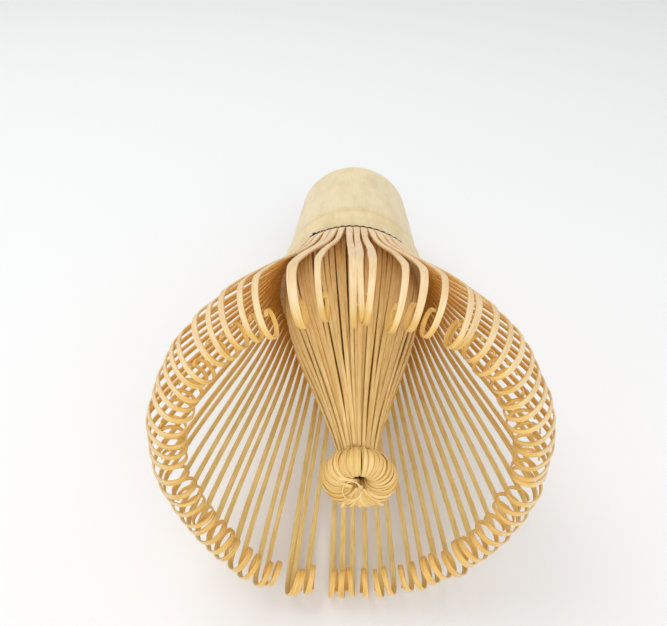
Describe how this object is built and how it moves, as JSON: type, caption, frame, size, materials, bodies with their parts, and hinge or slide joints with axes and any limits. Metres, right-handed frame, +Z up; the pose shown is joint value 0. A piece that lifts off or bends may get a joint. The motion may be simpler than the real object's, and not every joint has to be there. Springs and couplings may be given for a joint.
{
  "type": "tea whisk",
  "caption": "Bamboo tea whisk lying on its side: a short hollow culm handle, a flared ring of fine curled outer tines and a cone of inner tines gathered in a knot.",
  "frame": {"origin": "middle of the footprint box, on the surface that the whisk lies on", "axes": "+Z up, the mouth of tines towards -Y and the cut end of the handle towards +Y; the whisk axis rises about 9.5 degrees towards the mouth, because it lies on its rim and on its handle end"},
  "size_m": [0.0596, 0.1082, 0.0591],
  "materials": {
    "bamboo_skin": "satin, scraped bamboo skin",
    "bamboo_tine": "satin split bamboo",
    "bamboo_inner_tine": "satin split bamboo",
    "lacing_thread": "twisted cotton thread"
  },
  "bodies": {
    "handle": {"handle_culm": "bamboo_skin", "outer_lacing_thread": "lacing_thread", "inner_lacing_thread": "lacing_thread", "lacing_knot": "lacing_thread"},
    "inner_bundle": {"inner_tines_01": "bamboo_inner_tine", "inner_tines_02": "bamboo_inner_tine", "inner_tines_03": "bamboo_inner_tine", "inner_tines_04": "bamboo_inner_tine", "inner_tines_05": "bamboo_inner_tine", "inner_tines_06": "bamboo_inner_tine", "inner_tines_07": "bamboo_inner_tine", "inner_tines_08": "bamboo_inner_tine", "inner_tines_09": "bamboo_inner_tine", "inner_tines_10": "bamboo_inner_tine", "inner_tines_11": "bamboo_inner_tine", "inner_tines_12": "bamboo_inner_tine", "inner_tines_13": "bamboo_inner_tine", "inner_tines_14": "bamboo_inner_tine", "inner_tines_15": "bamboo_inner_tine", "inner_tines_16": "bamboo_inner_tine", "inner_tines_17": "bamboo_inner_tine", "inner_tines_18": "bamboo_inner_tine", "inner_tip_knot": "bamboo_inner_tine"},
    "outer_sector_01": {"outer_tines_01": "bamboo_tine"},
    "outer_sector_02": {"outer_tines_02": "bamboo_tine"},
    "outer_sector_03": {"outer_tines_03": "bamboo_tine"},
    "outer_sector_04": {"outer_tines_04": "bamboo_tine"},
    "outer_sector_05": {"outer_tines_05": "bamboo_tine"},
    "outer_sector_06": {"outer_tines_06": "bamboo_tine"},
    "outer_sector_07": {"outer_tines_07": "bamboo_tine"},
    "outer_sector_08": {"outer_tines_08": "bamboo_tine"},
    "outer_sector_09": {"outer_tines_09": "bamboo_tine"},
    "outer_sector_10": {"outer_tines_10": "bamboo_tine"},
    "outer_sector_11": {"outer_tines_11": "bamboo_tine"},
    "outer_sector_12": {"outer_tines_12": "bamboo_tine"},
    "outer_sector_13": {"outer_tines_13": "bamboo_tine"},
    "outer_sector_14": {"outer_tines_14": "bamboo_tine"},
    "outer_sector_15": {"outer_tines_15": "bamboo_tine"},
    "outer_sector_16": {"outer_tines_16": "bamboo_tine"},
    "outer_sector_17": {"outer_tines_17": "bamboo_tine"},
    "outer_sector_18": {"outer_tines_18": "bamboo_tine"}
  },
  "joints": [
    {"name": "inner_bundle_sway", "type": "hinge", "parent": "handle", "child": "inner_bundle", "pos_m": [0, 0.00428, 0.02169], "axis": [1, 0, 0], "range_deg": [-3, 3], "stiffness_Nm_per_rad": 0.6},
    {"name": "outer_flex_01", "type": "hinge", "parent": "handle", "child": "outer_sector_01", "pos_m": [0.01521, 0.00472, 0.02434], "axis": [-0.1736, 0.1619, 0.9714], "range_deg": [-2.5, 5], "stiffness_Nm_per_rad": 0.2},
    {"name": "outer_flex_02", "type": "hinge", "parent": "handle", "child": "outer_sector_02", "pos_m": [0.01338, 0.00555, 0.02931], "axis": [-0.5, 0.1424, 0.8542], "range_deg": [-2.5, 5], "stiffness_Nm_per_rad": 0.2},
    {"name": "outer_flex_03", "type": "hinge", "parent": "handle", "child": "outer_sector_03", "pos_m": [0.00993, 0.00622, 0.03336], "axis": [-0.766, 0.1057, 0.634], "range_deg": [-2.5, 5], "stiffness_Nm_per_rad": 0.2},
    {"name": "outer_flex_04", "type": "hinge", "parent": "handle", "child": "outer_sector_04", "pos_m": [0.00528, 0.00666, 0.03601], "axis": [-0.9397, 0.0562, 0.3374], "range_deg": [-2.5, 5], "stiffness_Nm_per_rad": 0.2},
    {"name": "outer_flex_05", "type": "hinge", "parent": "handle", "child": "outer_sector_05", "pos_m": [0, 0.00682, 0.03693], "axis": [-1, 0, 0], "range_deg": [-2.5, 5], "stiffness_Nm_per_rad": 0.2},
    {"name": "outer_flex_06", "type": "hinge", "parent": "handle", "child": "outer_sector_06", "pos_m": [-0.00528, 0.00666, 0.03601], "axis": [-0.9397, -0.0562, -0.3374], "range_deg": [-2.5, 5], "stiffness_Nm_per_rad": 0.2},
    {"name": "outer_flex_07", "type": "hinge", "parent": "handle", "child": "outer_sector_07", "pos_m": [-0.00993, 0.00622, 0.03336], "axis": [-0.766, -0.1057, -0.634], "range_deg": [-2.5, 5], "stiffness_Nm_per_rad": 0.2},
    {"name": "outer_flex_08", "type": "hinge", "parent": "handle", "child": "outer_sector_08", "pos_m": [-0.01338, 0.00555, 0.02931], "axis": [-0.5, -0.1424, -0.8542], "range_deg": [-2.5, 5], "stiffness_Nm_per_rad": 0.2},
    {"name": "outer_flex_09", "type": "hinge", "parent": "handle", "child": "outer_sector_09", "pos_m": [-0.01521, 0.00472, 0.02434], "axis": [-0.1736, -0.1619, -0.9714], "range_deg": [-2.5, 5], "stiffness_Nm_per_rad": 0.2},
    {"name": "outer_flex_10", "type": "hinge", "parent": "handle", "child": "outer_sector_10", "pos_m": [-0.01521, 0.00384, 0.01904], "axis": [0.1736, -0.1619, -0.9714], "range_deg": [-2.5, 5], "stiffness_Nm_per_rad": 0.2},
    {"name": "outer_flex_11", "type": "hinge", "parent": "handle", "child": "outer_sector_11", "pos_m": [-0.01338, 0.00301, 0.01407], "axis": [0.5, -0.1424, -0.8542], "range_deg": [-2.5, 5], "stiffness_Nm_per_rad": 0.2},
    {"name": "outer_flex_12", "type": "hinge", "parent": "handle", "child": "outer_sector_12", "pos_m": [-0.00993, 0.00233, 0.01002], "axis": [0.766, -0.1057, -0.634], "range_deg": [-2.5, 5], "stiffness_Nm_per_rad": 0.2},
    {"name": "outer_flex_13", "type": "hinge", "parent": "handle", "child": "outer_sector_13", "pos_m": [-0.00528, 0.00189, 0.00737], "axis": [0.9397, -0.0562, -0.3374], "range_deg": [-2.5, 5], "stiffness_Nm_per_rad": 0.2},
    {"name": "outer_flex_14", "type": "hinge", "parent": "handle", "child": "outer_sector_14", "pos_m": [0, 0.00174, 0.00645], "axis": [1, 0, 0], "range_deg": [-2.5, 5], "stiffness_Nm_per_rad": 0.2},
    {"name": "outer_flex_15", "type": "hinge", "parent": "handle", "child": "outer_sector_15", "pos_m": [0.00528, 0.00189, 0.00737], "axis": [0.9397, 0.0562, 0.3374], "range_deg": [-2.5, 5], "stiffness_Nm_per_rad": 0.2},
    {"name": "outer_flex_16", "type": "hinge", "parent": "handle", "child": "outer_sector_16", "pos_m": [0.00993, 0.00233, 0.01002], "axis": [0.766, 0.1057, 0.634], "range_deg": [-2.5, 5], "stiffness_Nm_per_rad": 0.2},
    {"name": "outer_flex_17", "type": "hinge", "parent": "handle", "child": "outer_sector_17", "pos_m": [0.01338, 0.00301, 0.01407], "axis": [0.5, 0.1424, 0.8542], "range_deg": [-2.5, 5], "stiffness_Nm_per_rad": 0.2},
    {"name": "outer_flex_18", "type": "hinge", "parent": "handle", "child": "outer_sector_18", "pos_m": [0.01521, 0.00384, 0.01904], "axis": [0.1736, 0.1619, 0.9714], "range_deg": [-2.5, 5], "stiffness_Nm_per_rad": 0.2}
  ]
}
